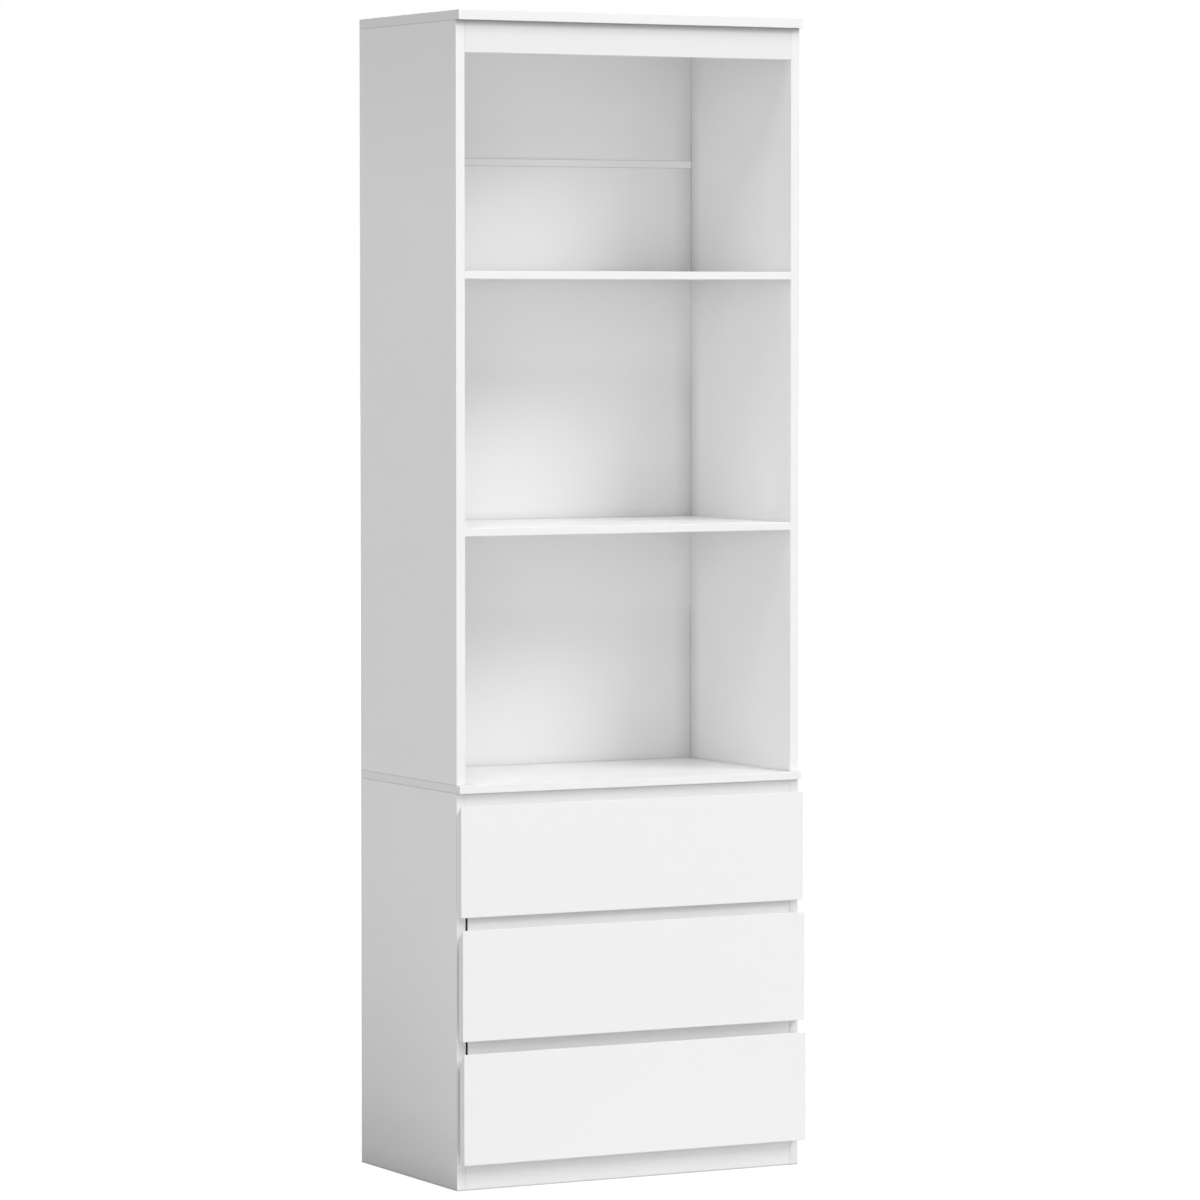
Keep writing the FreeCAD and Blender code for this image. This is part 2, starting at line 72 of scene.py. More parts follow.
class Shade:
    """A socket in a shader or geometry tree. Arithmetic on it adds Math nodes."""

    def __init__(self, tree, socket=None):
        self.tree = tree
        self.socket = socket

    def node(self, kind, settings=None, values=None, output=0):
        """Adds a node of any kind: its settings, then the values or links of its sockets."""
        made = self.tree.nodes.new(kind)
        for key, value in (settings or {}).items():
            setattr(made, key, value)
        for key, value in (values or {}).items():
            if isinstance(value, Shade):
                self.tree.links.new(value.socket, made.inputs[key])
            else:
                made.inputs[key].default_value = value
        return Shade(self.tree, made.outputs[output] if made.outputs else None)

    def maths(self, operation, *values):
        """A Math node on this socket and the others."""
        operands = dict(enumerate((self,) + values))
        return self.node("ShaderNodeMath", {"operation": operation}, operands)

    def __add__(self, other):
        return self.maths("ADD", other)

    __radd__ = __add__

    def __mul__(self, other):
        return self.maths("MULTIPLY", other)

    def __sub__(self, other):
        return self.maths("SUBTRACT", other)

    def __rsub__(self, other):
        return (self * -1.0) + other

    def __truediv__(self, other):
        return self.maths("DIVIDE", other)

    def held(self):
        """This value, kept between 0 and 1."""
        return self.maths("MAXIMUM", 0.0).maths("MINIMUM", 1.0)

    def over_zero(self):
        """1 where this value is above 0, and 0 elsewhere."""
        return self.maths("GREATER_THAN", 0.0)

    def under_zero(self):
        """1 where this value is below 0, and 0 elsewhere."""
        return self.maths("LESS_THAN", 0.0)

    def either(self, other):
        """The larger of this value and another."""
        return self.maths("MAXIMUM", other)

    def axes(self):
        """The x, y and z of a vector."""
        split = self.node("ShaderNodeSeparateXYZ", None, {"Vector": self})
        outputs = split.socket.node.outputs
        return [Shade(self.tree, socket) for socket in outputs]

    def stretched(self, scale):
        """A vector scaled along each axis."""
        settings = {"operation": "MULTIPLY"}
        return self.node("ShaderNodeVectorMath", settings, {0: self, 1: scale})

    def noise(self, scale, detail=2.0, roughness=0.5):
        """Noise between about 0 and 1 at this place."""
        values = {"Vector": self, "Scale": scale, "Detail": detail, "Roughness": roughness}
        return self.node("ShaderNodeTexNoise", None, values)

    def between(self, low, high):
        """Two colours mixed by this value."""
        settings = {"data_type": "RGBA"}
        values = {"Factor": self, 6: low, 7: high}
        return self.node("ShaderNodeMix", settings, values, 2)


def grey(value, warmth=0.0):
    """A near-neutral colour, warmer in red and cooler in blue by the warmth."""
    return (value + warmth, value, value - warmth, 1.0)


def new_finish(name, **constants):
    """A material with its coordinates, and a function that links what varies."""
    material = bpy.data.materials.new(name)
    material.use_nodes = True
    tree = material.node_tree
    shader = tree.nodes["Principled BSDF"]
    for key, value in constants.items():
        shader.inputs[key.replace("_", " ")].default_value = value
    start = Shade(tree)
    place = start.node("ShaderNodeTexCoord", output="Object")

    def link(**varying):
        for key, value in varying.items():
            tree.links.new(value.socket, shader.inputs[key.replace("_", " ")])
        return material

    return place, link


def relief(height, distance, strength=1.0):
    """A surface normal from a height, where 1 stands for the distance."""
    values = {"Height": height, "Distance": distance, "Strength": strength}
    return height.node("ShaderNodeBump", None, values)


# ---------------------------------------------------------------- finishes

EDGE_STRIP = 0.8 * MILLIMETRE
STRIP_JOINT = 0.12 * MILLIMETRE        # hairline where an edge strip ends
JOINT_SHADE = 0.9 * MILLIMETRE         # shaded line where boards butt
# END_DEPTH: how far in from a rail's end its unedged end face is painted near-black, for the
# shadow in the slot there
END_DEPTH = 0.5 * MILLIMETRE           # raw board seen at the end of a rail
FINGER_BEVEL = 14.0 * MILLIMETRE
LACQUER = 0.2 * MILLIMETRE             # white skin on a thin back or bottom

# Margins that tell one face of a board from the next
FACE_MARGIN = 0.3 * MILLIMETRE
TOP_MARGIN = 2.0 * MILLIMETRE
LIP_MARGIN = 1.2 * MILLIMETRE

# How fast a line rises to its full strength
STRIP_SHARPNESS = 2.0
BUTT_SHARPNESS = 4.0
END_SHARPNESS = 8.0

# Soft shade painted beside a line, as falls of (reach, depth). It is part of the colour,
# so it stays where it is when a drawer moves or a lamp changes.
CORNER_FALLS = ((2.0 * MILLIMETRE, 0.16), (32.0 * MILLIMETRE, 0.20))
SEAM_FALLS = ((2.0 * MILLIMETRE, 0.12), (16.0 * MILLIMETRE, 0.06))
OVERHANG_FALLS = ((9.5 * MILLIMETRE, 0.66), (22.0 * MILLIMETRE, 0.12))
LEDGE_FALLS = ((4.0 * MILLIMETRE, 0.40), (22.0 * MILLIMETRE, 0.05))
GAP_FALLS = ((12.0 * MILLIMETRE, 0.32),)
FLOOR_FALLS = ((2.5 * MILLIMETRE, 0.60),)
PLINTH_FALLS = ((5.0 * MILLIMETRE, 0.08),)
SLOT_FALLS = ((4.0 * MILLIMETRE, 0.95),)
SKIRTING_FALLS = ((0.30, 0.09), (0.12, 0.16), (0.03, 0.14), (0.004, 0.45))
CROWN_FALLS = ((0.30, 0.13),)
RIGHT_BACK_FALLS = ((0.13, 0.09),)
POOL_FALLS = ((0.13, 0.07),)
POOL_DROP = 0.15                       # a back is greyest this far below a shelf
CEILING_FADE = 0.18                    # corner shade comes in over this height
HEEL_REACH = 0.50                      # round the rear foot of an outer face
HEEL_DEPTH = 0.15
COVERED_DEPTH = 0.20                   # edges that a drawer front covers
COVERED_EDGE = 25.0 * MILLIMETRE

# Whites, lightest first: the boards are one melamine, painted lighter where they stand for more
# light and darker where they stand for shade; and what lines and painted shade turn them to
# painted light: the lightest white goes right under a shelf, on a front's bevel and on the
# lower finger-gap rail; the next goes in the bays and on the upper finger-gap rail
MOST_LIT_WHITE = 0.985                    # right under a shelf, and in a finger gap
LIT_WHITE = 0.97
WHITE = 0.94
# painted shade: darker whites for the drawer fronts and every edge strip, the chest rail and
# the fascia
FRONT_SHADED_WHITE = 0.885
RAIL_SHADED_WHITE = 0.88
FASCIA_SHADED_WHITE = 0.83
GRAIN_TINT = 0.008
LACQUER_TINT = 0.015
PLASTIC_TINT = 0.03
STRIP_JOINT_DEPTH = 0.12
SEAM_DEPTH = 0.32                      # how much darker the line between boards is
CHEST_SEAM_DEPTH = 0.20
FASCIA_SEAM_DEPTH = 0.15
SHADE_GREY = 0.12
# near-black painted shadow for the narrow slots at the rails' ends, on the rails' unedged end
# faces and on the dowels that cross the slots
SLOT_SHADOW = (0.050, 0.046, 0.042, 1.0)

# The darker and the lighter colour of each mottled finish
FIBRE_BROWNS = ((0.235, 0.150, 0.088, 1.0), (0.375, 0.262, 0.170, 1.0))
BEECH_BROWNS = ((0.46, 0.29, 0.15, 1.0), (0.66, 0.46, 0.27, 1.0))
PLATE_GREYS = ((0.52, 0.53, 0.55, 1.0), (0.68, 0.69, 0.70, 1.0))
CASTING_GREYS = ((0.40, 0.41, 0.42, 1.0), (0.52, 0.53, 0.54, 1.0))


def lines_near(place, node, ends, inset, reach):
    """1 at the given distance inside each named end of a node, 0 beyond the reach."""
    low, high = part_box(node)
    lines = place.axes()[0] * 0.0
    for end in ends:
        axis = "xyz".index(end[1])
        at = high[axis] - inset if end[0] == "+" else low[axis] + inset
        away = (place.axes()[axis] - at).maths("ABSOLUTE")
        lines = lines.either((1.0 - away / reach).held())
    return lines


def shade_beside(place, lines):
    """How much painted shade a surface has beside lines, each given as (axis, position, falls),
    where a fall is (reach, depth)."""
    x, y, z = place.axes()
    light = x * 0.0 + 1.0
    for axis, position, falls in lines:
        away = ({"x": x, "y": y, "z": z}[axis] - position).maths("ABSOLUTE")
        for reach, depth in falls:
            light = light * (1.0 - (1.0 - away / reach).held() * depth)
    return 1.0 - light


def below_ceilings(place):
    """0 right under a shelf or the top, rising to 1 further down the bay: it fades the bay's
    painted light into its painted corner shade.
    """
    z = place.axes()[2]
    share = z * 0.0 + 1.0
    for board in CEILINGS:
        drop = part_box(board)[0][2] - z
        share = share * (1.0 - (1.0 - drop / CEILING_FADE).held() * drop.over_zero())
    return share


def within_bay(place):
    """1 between the upper sides, behind their front edges and below the top panel's
    upper face, and 0 outside."""
    wall, front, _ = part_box("right_upper_side")[0]
    x, y, z = place.axes()
    inside = (wall + FACE_MARGIN - x.maths("ABSOLUTE")).over_zero()
    behind = (y - (front + FACE_MARGIN)).over_zero()
    below = (z - (cad_high[2] - TOP_MARGIN)).under_zero()
    return inside * behind * below


def shade_at_heel(place):
    """How much painted shade an outer face has round its rear foot."""
    _, y, z = place.axes()
    back = y - cad_high[1]
    away = (back * back + z * z).maths("SQRT")
    return (1.0 - away / HEEL_REACH).held() * HEEL_DEPTH


def on_bevel(place, front):
    """1 on the bevel behind a drawer front's top edge, where light is painted."""
    low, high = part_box(front)
    x, y, z = place.axes()
    across = (high[0] - FACE_MARGIN - x.maths("ABSOLUTE")).over_zero()
    behind = (y - (low[1] + LIP_MARGIN)).over_zero()
    upper = (z - (high[2] - FINGER_BEVEL)).over_zero()
    return across * behind * upper


def behind_fronts(place):
    """1 on the front edges of the lower sides, where a drawer front covers them at rest and
    shade is painted.
    """
    _, y, z = place.axes()
    covered = z * 0.0
    for drawer in DRAWERS:
        low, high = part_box(f"{drawer}_drawer_front")
        above = ((z - low[2]) / COVERED_EDGE).held()
        below = ((high[2] - z) / COVERED_EDGE).held()
        covered = covered.either(above * below)
    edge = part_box("left_lower_side")[0][1] + EDGE_STRIP
    return covered * (y - edge).under_zero()


def shaded(colour, amount):
    """A colour with an amount of painted shade on it, towards a dark grey."""
    return amount.between(colour, grey(SHADE_GREY))


def melamine(node, banded, joined=(), corners=(), outside=(), front=(), raw_shadowed=(),
             covered=False, lit_bevel=False, white=WHITE, seam=SEAM_DEPTH):
    """White melamine board: an even satin white over a very fine pearl grain, with a hairline
    where each edge strip ends and a shaded line where boards butt. Its edge strips are painted
    the fronts' darker white. Corners, outside and front are the lines beside which shade is
    painted in the bay, on an outer face and on a front edge; in the bay the white is also
    painted lighter for light. A bevel painted lightest stands for light in the finger gap,
    covered front edges get painted shade, and a rail's unedged ends are painted near-black for
    the shadow in their slot."""
    place, link = new_finish(f"melamine_{node}", IOR=1.45)
    cloud = place.noise(2.3)
    pearl = place.noise(1400.0, detail=1.0)
    tint = (cloud * 0.7 + pearl * 0.3).held()
    strips = lines_near(place, node, banded, EDGE_STRIP, STRIP_JOINT)
    butts = (lines_near(place, node, joined, 0.0, JOINT_SHADE) * BUTT_SHARPNESS).held()
    on_strip = (lines_near(place, node, banded, 0.0, EDGE_STRIP) * STRIP_SHARPNESS).held()
    colour = tint.between(grey(white - GRAIN_TINT), grey(white + GRAIN_TINT))
    # painted shade: edge strips take the fronts' darker white
    colour = on_strip.between(colour, grey(FRONT_SHADED_WHITE))
    colour = strips.between(colour, grey(white - STRIP_JOINT_DEPTH))
    colour = butts.between(colour, grey(white - seam))
    if corners:
        # painted light and shade in the bay: a lighter white, lightest right under a shelf,
        # then painted shade along the corner lines
        inside, down = within_bay(place), below_ceilings(place)
        lit_colour = down.between(grey(MOST_LIT_WHITE), grey(LIT_WHITE))
        colour = inside.between(colour, lit_colour)
        colour = shaded(colour, shade_beside(place, corners) * inside * down)
    if outside:
        # painted shade on the outer side faces, towards the top, the floor and the rear foot
        on_face = (place.axes()[0].maths("ABSOLUTE") - (cad_high[0] - FACE_MARGIN)).over_zero()
        lit = (1.0 - shade_beside(place, outside)) * (1.0 - shade_at_heel(place))
        colour = shaded(colour, (1.0 - lit) * on_face)
    if front:
        # painted shade on the front edge, under an overhang or by the floor
        facing = (place.axes()[1] - (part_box(node)[0][1] + EDGE_STRIP)).under_zero()
        colour = shaded(colour, shade_beside(place, front) * facing)
    if raw_shadowed:
        # painted shadow: the rail's unedged ends go near-black, for the slot beside them
        ends = (lines_near(place, node, raw_shadowed, 0.0, END_DEPTH) * END_SHARPNESS).held()
        colour = ends.between(colour, SLOT_SHADOW)
    if lit_bevel:
        # painted light: the bevel behind a front's top edge is the lightest white, so that it
        # throws more light into the finger gap
        colour = on_bevel(place, node).between(colour, grey(MOST_LIT_WHITE))
    if covered:
        # painted shade on the front edges that the drawer fronts cover at rest; it stays there
        # when a drawer is out
        colour = shaded(colour, behind_fronts(place) * COVERED_DEPTH)
    return link(Base_Color=colour, Roughness=0.36 + cloud * 0.08 + pearl * 0.03,
                Normal=relief(pearl * 0.2 - strips, 0.02 * MILLIMETRE, 0.25))


def fibreboard(node, axis, skin, corners=()):
    """Thin fibreboard: a white lacquered skin on one face, brown and fibrous behind. In the bay
    the skin is painted a lighter white for light, lightest right under a shelf, with painted
    shade along its corner lines.
    """
    place, link = new_finish(f"fibreboard_{node}", IOR=1.45)
    along = place.axes()[axis]
    low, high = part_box(node)
    if skin == "low":
        bare = (along - (low[axis] + LACQUER)).over_zero()
    else:
        bare = (along - (high[axis] - LACQUER)).under_zero()
    cloud = place.noise(3.1)
    fibre = place.noise(420.0, detail=4.0, roughness=0.7)
    screen = place.node("ShaderNodeTexVoronoi", None, {"Vector": place, "Scale": 700.0})
    white = LIT_WHITE if corners else WHITE
    lacquer = cloud.between(grey(white - LACQUER_TINT), grey(white))
    if corners:
        # painted light right under the shelves, then painted shade along the corner lines
        down = below_ceilings(place)
        lacquer = down.between(grey(MOST_LIT_WHITE), lacquer)
        lacquer = shaded(lacquer, shade_beside(place, corners) * down)
    brown = fibre.between(*FIBRE_BROWNS)
    rough = bare * 0.35 + cloud * 0.08 + 0.42
    height = bare * (fibre * 0.6 + screen * 0.4) + fibre * 0.05
    return link(Base_Color=bare.between(lacquer, brown), Roughness=rough,
                Normal=relief(height, 0.1 * MILLIMETRE, 0.5))


def strip_plastic():
    """White extruded plastic, drawn along its length, with painted shade along its lips."""
    place, link = new_finish("strip_plastic", IOR=1.46)
    drawn = place.stretched((2.0, 900.0, 900.0)).noise(1.0)
    colour = drawn.between(grey(WHITE - PLASTIC_TINT), grey(WHITE))
    lips = lines_near(place, "back_joining_strip", ("-z", "+z"), 0.0, JOINT_SHADE)
    colour = (lips * BUTT_SHARPNESS).held().between(colour, grey(WHITE - SEAM_DEPTH))
    return link(Base_Color=colour, Roughness=drawn * 0.12 + 0.34,
                Normal=relief(drawn, 0.02 * MILLIMETRE, 0.3))


def coated_steel():
    """White epoxy powder on sheet steel, with a light orange peel."""
    place, link = new_finish("coated_steel", IOR=1.5)
    peel = place.noise(650.0, detail=2.0)
    cloud = place.noise(9.0)
    colour = cloud.between(grey(0.78, 0.004), grey(0.82, 0.004))
    return link(Base_Color=colour, Roughness=peel * 0.14 + 0.24,
                Normal=relief(peel, 0.06 * MILLIMETRE, 0.4))


def nylon():
    """Moulded nylon, faintly yellow and a little rubbed."""
    place, link = new_finish("nylon", IOR=1.53)
    rubbed = place.noise(240.0, detail=3.0)
    colour = rubbed.between(grey(0.70, 0.02), grey(0.78, 0.015))
    return link(Base_Color=colour, Roughness=rubbed * 0.2 + 0.3,
                Normal=relief(rubbed, 0.04 * MILLIMETRE, 0.3))


def zinc_plate():
    """Bright zinc plate on steel, with a fine grain and faint tarnish."""
    place, link = new_finish("zinc_plate", Metallic=1.0)
    tarnish = place.noise(60.0, detail=4.0)
    grain = place.noise(1800.0, detail=1.0)
    colour = tarnish.between(*PLATE_GREYS)
    return link(Base_Color=colour, Roughness=grain * 0.12 + tarnish * 0.18 + 0.18,
                Normal=relief(grain, 0.02 * MILLIMETRE, 0.3))


def zinc_casting():
    """Die-cast zinc, dull and slightly pitted."""
    place, link = new_finish("zinc_casting", Metallic=1.0)
    pits = place.noise(900.0, detail=3.0)
    cloud = place.noise(120.0)
    colour = cloud.between(*CASTING_GREYS)
    return link(Base_Color=colour, Roughness=pits * 0.25 + 0.36,
                Normal=relief(pits, 0.08 * MILLIMETRE, 0.5))


def beech():
    """Plain beech with short dark flecks, and painted shadow where a dowel crosses the slot at
    a rail's end.
    """
    place, link = new_finish("beech", IOR=1.45)
    fleck = place.stretched((90.0, 900.0, 900.0)).noise(1.0, detail=3.0)
    colour = fleck.between(*BEECH_BROWNS)
    # painted shadow in the slot at the rails' ends
    slot = [("x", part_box("upper_drawer_rail")[0][0], SLOT_FALLS)]
    colour = shade_beside(place, slot).between(colour, SLOT_SHADOW)
    return link(Base_Color=colour, Roughness=fleck * 0.2 + 0.5,
                Normal=relief(fleck, 0.05 * MILLIMETRE, 0.4))


def paint(node, material):
    """Gives a node of the frame its finish."""
    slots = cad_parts[node].data.materials
    slots.clear()
    slots.append(material)


def bay_corners():
    """The bay's inner corner lines, beside which shade is painted: the back's face, both side
    walls, and the levels at which the back meets the top of a board."""
    back = [("y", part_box("main_back_panel")[0][1], CORNER_FALLS)]
    walls = [("x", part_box("left_upper_side")[1][0], CORNER_FALLS),
             ("x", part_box("right_upper_side")[0][0], CORNER_FALLS)]
    levels = [("z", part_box(board)[1][2], SEAM_FALLS)
              for board in ("middle_panel", "lower_shelf", "upper_shelf")]
    return back, walls, levels


def paint_boards():
    """Melamine on every board, each with the lines, painted shade and painted light that its
    place gives it.
    """
    back, walls, _ = bay_corners()
    crown = [("z", cad_high[2], CROWN_FALLS)]
    paint("top_panel", melamine("top_panel", ("-y", "-x", "+x"), corners=back + walls,
                                outside=crown))
    paint("middle_panel", melamine("middle_panel", ("-y", "-x", "+x"),
                                   corners=back + walls))
    skirting = [("z", 0.0, SKIRTING_FALLS)]
    below_top = [("z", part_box("top_panel")[0][2], OVERHANG_FALLS)]
    below_middle = [("z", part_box("middle_panel")[0][2], LEDGE_FALLS)]
    at_floor = [("z", 0.0, FLOOR_FALLS)]
    for side in SIDES:
        node = f"{side}_upper_side"
        paint(node, melamine(node, ("-y",), ("-z", "+z"), back, outside=crown,
                             front=below_top))
        node = f"{side}_lower_side"
        paint(node, melamine(node, ("-y",), ("+z",), outside=skirting,
                             front=below_middle + at_floor, covered=True))
    for node in ("upper_shelf", "lower_shelf"):
        paint(node, melamine(node, ("-y",), corners=back + walls))
    paint("top_front_rail", melamine("top_front_rail", ("-z",), ("-x", "+x"),
                                     front=below_top, white=FASCIA_SHADED_WHITE,
                                     seam=FASCIA_SEAM_DEPTH))
    paint("chest_front_rail", melamine("chest_front_rail", ("-z",), ("-x", "+x"),
                                       front=below_middle, white=RAIL_SHADED_WHITE,
                                       seam=CHEST_SEAM_DEPTH))
    # the finger-gap rails are painted lighter whites for light, the upper one with painted
    # shade under the front above it
    below = [("z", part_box("upper_drawer_front")[0][2], GAP_FALLS)]
    paint("upper_drawer_rail", melamine("upper_drawer_rail", ("-z", "+z"), front=below,
                                        raw_shadowed=("-x", "+x"), white=LIT_WHITE))
    paint("lower_drawer_rail", melamine("lower_drawer_rail", ("-z", "+z"), raw_shadowed=("-x", "+x"),
                                        white=MOST_LIT_WHITE))
    below = [("z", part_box("lower_drawer_front")[0][2], PLINTH_FALLS)]
    paint("front_plinth", melamine("front_plinth", ("-z",), ("-x", "+x"),
                                   front=below + at_floor, seam=CHEST_SEAM_DEPTH))
    paint("rear_plinth", melamine("rear_plinth", ("-z", "+z")))
    for drawer in DRAWERS:
        node = f"{drawer}_drawer_front"
        paint(node, melamine(node, ("-x", "+x", "-z"), lit_bevel=True, white=FRONT_SHADED_WHITE))
        for part in ("left_side", "right_side", "back"):
            node = f"{drawer}_drawer_{part}"
            paint(node, melamine(node, ("+z",)))


def paint_rest():
    """Finishes of the thin panels, the runners and the fittings, with painted shade and light
    on the bay's backs.
    """
    _, walls, levels = bay_corners()
    # painted shade on the backs: near the right wall, and in a band below each shelf
    pools = [("x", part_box("right_upper_side")[0][0], RIGHT_BACK_FALLS)]
    pools += [("z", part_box(board)[0][2] - POOL_DROP, POOL_FALLS) for board in CEILINGS]
    for node in ("upper_back_panel", "main_back_panel"):
        paint(node, fibreboard(node, 1, "low", walls + pools + levels))
    paint("chest_back_panel", fibreboard("chest_back_panel", 1, "low"))
    steel = coated_steel()
    wheel = nylon()
    plate = zinc_plate()
    for drawer in DRAWERS:
        bottom = f"{drawer}_drawer_bottom"
        paint(bottom, fibreboard(bottom, 2, "high"))
        for side in SIDES:
            paint(f"{drawer}_{side}_cabinet_runner", steel)
            paint(f"{drawer}_{side}_drawer_runner", steel)
        paint(f"{drawer}_cabinet_rollers", wheel)
        paint(f"{drawer}_drawer_rollers", wheel)
        paint(f"{drawer}_drawer_roller_pins", plate)
    paint("back_joining_strip", strip_plastic())
    paint("back_tie_plates", plate)
    paint("cam_bolts", plate)
    paint("cabinet_roller_pins", plate)
    paint("cam_locks", zinc_casting())
    paint("wooden_dowels", beech())


# ---------------------------------------------------------------- softened edges

BOARD_EDGE = 0.6 * MILLIMETRE
THIN_EDGE = 0.25 * MILLIMETRE
WELD_REACH = 0.01 * MILLIMETRE
FLAT_ANGLE = 1.0               # faces within this are one, in degrees
SHARP_ANGLE = 40.0             # edges over this are rounded, in degrees
BOARD_ENDINGS = ("_panel", "_side", "_shelf", "_rail", "_plinth", "_front", "_back")


def soften(node, width, segments=2):
    """Rounds a node's sharp edges by a small width."""
    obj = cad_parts[node]
    weld = obj.modifiers.new("weld", "WELD")
    weld.merge_threshold = WELD_REACH
    flat = obj.modifiers.new("flat", "DECIMATE")
    flat.decimate_type = "DISSOLVE"
    flat.angle_limit = math.radians(FLAT_ANGLE)
    bevel = obj.modifiers.new("edge", "BEVEL")
    bevel.width = width
    bevel.segments = segments
    bevel.limit_method = "ANGLE"
    bevel.angle_limit = math.radians(SHARP_ANGLE)
    bevel.use_clamp_overlap = False


def soften_edges():
    """Rounds every board, and the backs by less."""
    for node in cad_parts:
        if node.endswith(BOARD_ENDINGS):
            soften(node, THIN_EDGE if "back" in node else BOARD_EDGE)


# ---------------------------------------------------------------- fasteners and fittings

CROSS_SIDES = 20               # flats round a head with a recess
ROUND_SIDES = 28
TACK_SIDES = 12
SPIN_SEED = 7

# Small shapes, as shares of their radius or height
SCREW_CROWN = 0.72
TACK_CROWN = 0.6
PIN_CROWN = 0.7
CAM_TAPER = 0.97
SCREW_CROSS = 1.15             # length of the cross recess
SCREW_CROSS_DEPTH = 0.7
CAM_CROSS = 1.25
CROSS_WIDTH = 0.24
CAM_CROSS_DEPTH = 2.2 * MILLIMETRE


def new_tree(name, sizes):
    """The inputs of a new geometry tree, by name: points, each size and a finish."""
    tree = bpy.data.node_groups.new(name, "GeometryNodeTree")
    tree.interface.new_socket("Points", in_out="INPUT", socket_type="NodeSocketGeometry")
    for size in sizes:
        tree.interface.new_socket(size, in_out="INPUT", socket_type="NodeSocketFloat")
    tree.interface.new_socket("Finish", in_out="INPUT", socket_type="NodeSocketMaterial")
    tree.interface.new_socket("Mesh", in_out="OUTPUT", socket_type="NodeSocketGeometry")
    entry = tree.nodes.new("NodeGroupInput")
    return {socket.name: Shade(tree, socket) for socket in entry.outputs if socket.name}


def vector(start, x=0.0, y=0.0, z=0.0):
    """A vector from numbers or values of a tree."""
    return start.node("ShaderNodeCombineXYZ", None, {"X": x, "Y": y, "Z": z})


def box_tool(start, size, centre):
    """A block of a size, moved to a centre."""
    block = start.node("GeometryNodeMeshCube", None, {"Size": size})
    return start.node("GeometryNodeTransform", None, {"Geometry": block, "Translation": centre})


def turned(start, low, high, tall, sides):
    """A round piece that stands on the surface, from one radius to another."""
    values = {"Vertices": sides, "Radius Top": high, "Radius Bottom": low, "Depth": tall}
    return start.node("GeometryNodeMeshCone", None, values)


def without(piece, tools):
    """The piece with every tool cut out of it."""
    cut = piece.node("GeometryNodeMeshBoolean", {"operation": "DIFFERENCE", "solver": "EXACT"},
                     {"Mesh 1": piece})
    for tool in tools:
        cut.tree.links.new(tool.socket, cut.socket.node.inputs["Mesh 2"])
    return cut


def cross_tools(start, across, wide, deep, top):
    """Two blades of a cross recess, let in from the top."""
    centre = vector(start, z=top)
    tall = deep * 2.0
    return [box_tool(start, vector(start, across, wide, tall), centre),
            box_tool(start, vector(start, wide, across, tall), centre)]


def spread(inputs, piece, loose=False):
    """One piece at each point: it faces where the point says, and lies along its
    second direction, or is turned at random about the first."""
    start = inputs["Points"]
    turn = None
    for label, axis, pivot in (("faces", "Z", "AUTO"), ("along", "X", "Z")):
        way = start.node("GeometryNodeInputNamedAttribute", {"data_type": "FLOAT_VECTOR"},
                         {"Name": label})
        values = {"Vector": way} if turn is None else {"Vector": way, "Rotation": turn}
        turn = start.node("FunctionNodeAlignRotationToVector",
                          {"axis": axis, "pivot_axis": pivot}, values)
    if loose:
        angle = start.node("FunctionNodeRandomValue", {"data_type": "FLOAT"},
                           {2: 0.0, 3: math.pi / 2, "Seed": SPIN_SEED}, 1)
        spin = start.node("FunctionNodeAxisAngleToRotation", None,
                          {"Axis": (0.0, 0.0, 1.0), "Angle": angle})
        turn = start.node("FunctionNodeRotateRotation", {"rotation_space": "LOCAL"},
                          {"Rotation": turn, "Rotate By": spin})
    placed = start.node("GeometryNodeInstanceOnPoints", None,
                        {"Points": start, "Instance": piece, "Rotation": turn})
    real = start.node("GeometryNodeRealizeInstances", None, {"Geometry": placed})
    made = start.node("GeometryNodeSetMaterial", None,
                      {"Geometry": real, "Material": inputs["Finish"]})
    start.node("NodeGroupOutput", None, {"Mesh": made})
    return start.tree


def screw_tree():
    """Low screw heads with a cross recess."""
    inputs = new_tree("screw_heads", ("Radius", "Height"))
    radius, height = inputs["Radius"], inputs["Height"]
    head = turned(radius, radius, radius * SCREW_CROWN, height, CROSS_SIDES)
    tools = cross_tools(radius, radius * SCREW_CROSS, radius * CROSS_WIDTH,
                        height * SCREW_CROSS_DEPTH, height)
    return spread(inputs, without(head, tools), loose=True)


def tack_tree():
    """Small round tack heads."""
    inputs = new_tree("tack_heads", ("Radius", "Height"))
    radius, height = inputs["Radius"], inputs["Height"]
    return spread(inputs, turned(radius, radius, radius * TACK_CROWN, height, TACK_SIDES))


def cam_tree():
    """Round cams, with a cross recess in the mouth and a slot that the bolt enters."""
    inputs = new_tree("cams", ("Radius", "Depth", "Slot", "Bolt Height"))
    radius, depth, slot = inputs["Radius"], inputs["Depth"], inputs["Slot"]
    tall = inputs["Bolt Height"] * 2.0 + slot
    body = turned(radius, radius, radius * CAM_TAPER, depth, ROUND_SIDES)
    tools = cross_tools(radius, radius * CAM_CROSS, radius * CROSS_WIDTH,
                        CAM_CROSS_DEPTH, depth)
    tools.append(box_tool(radius, vector(radius, radius * 2.0, slot, tall),
                          vector(radius, radius)))
    return spread(inputs, without(body, tools))


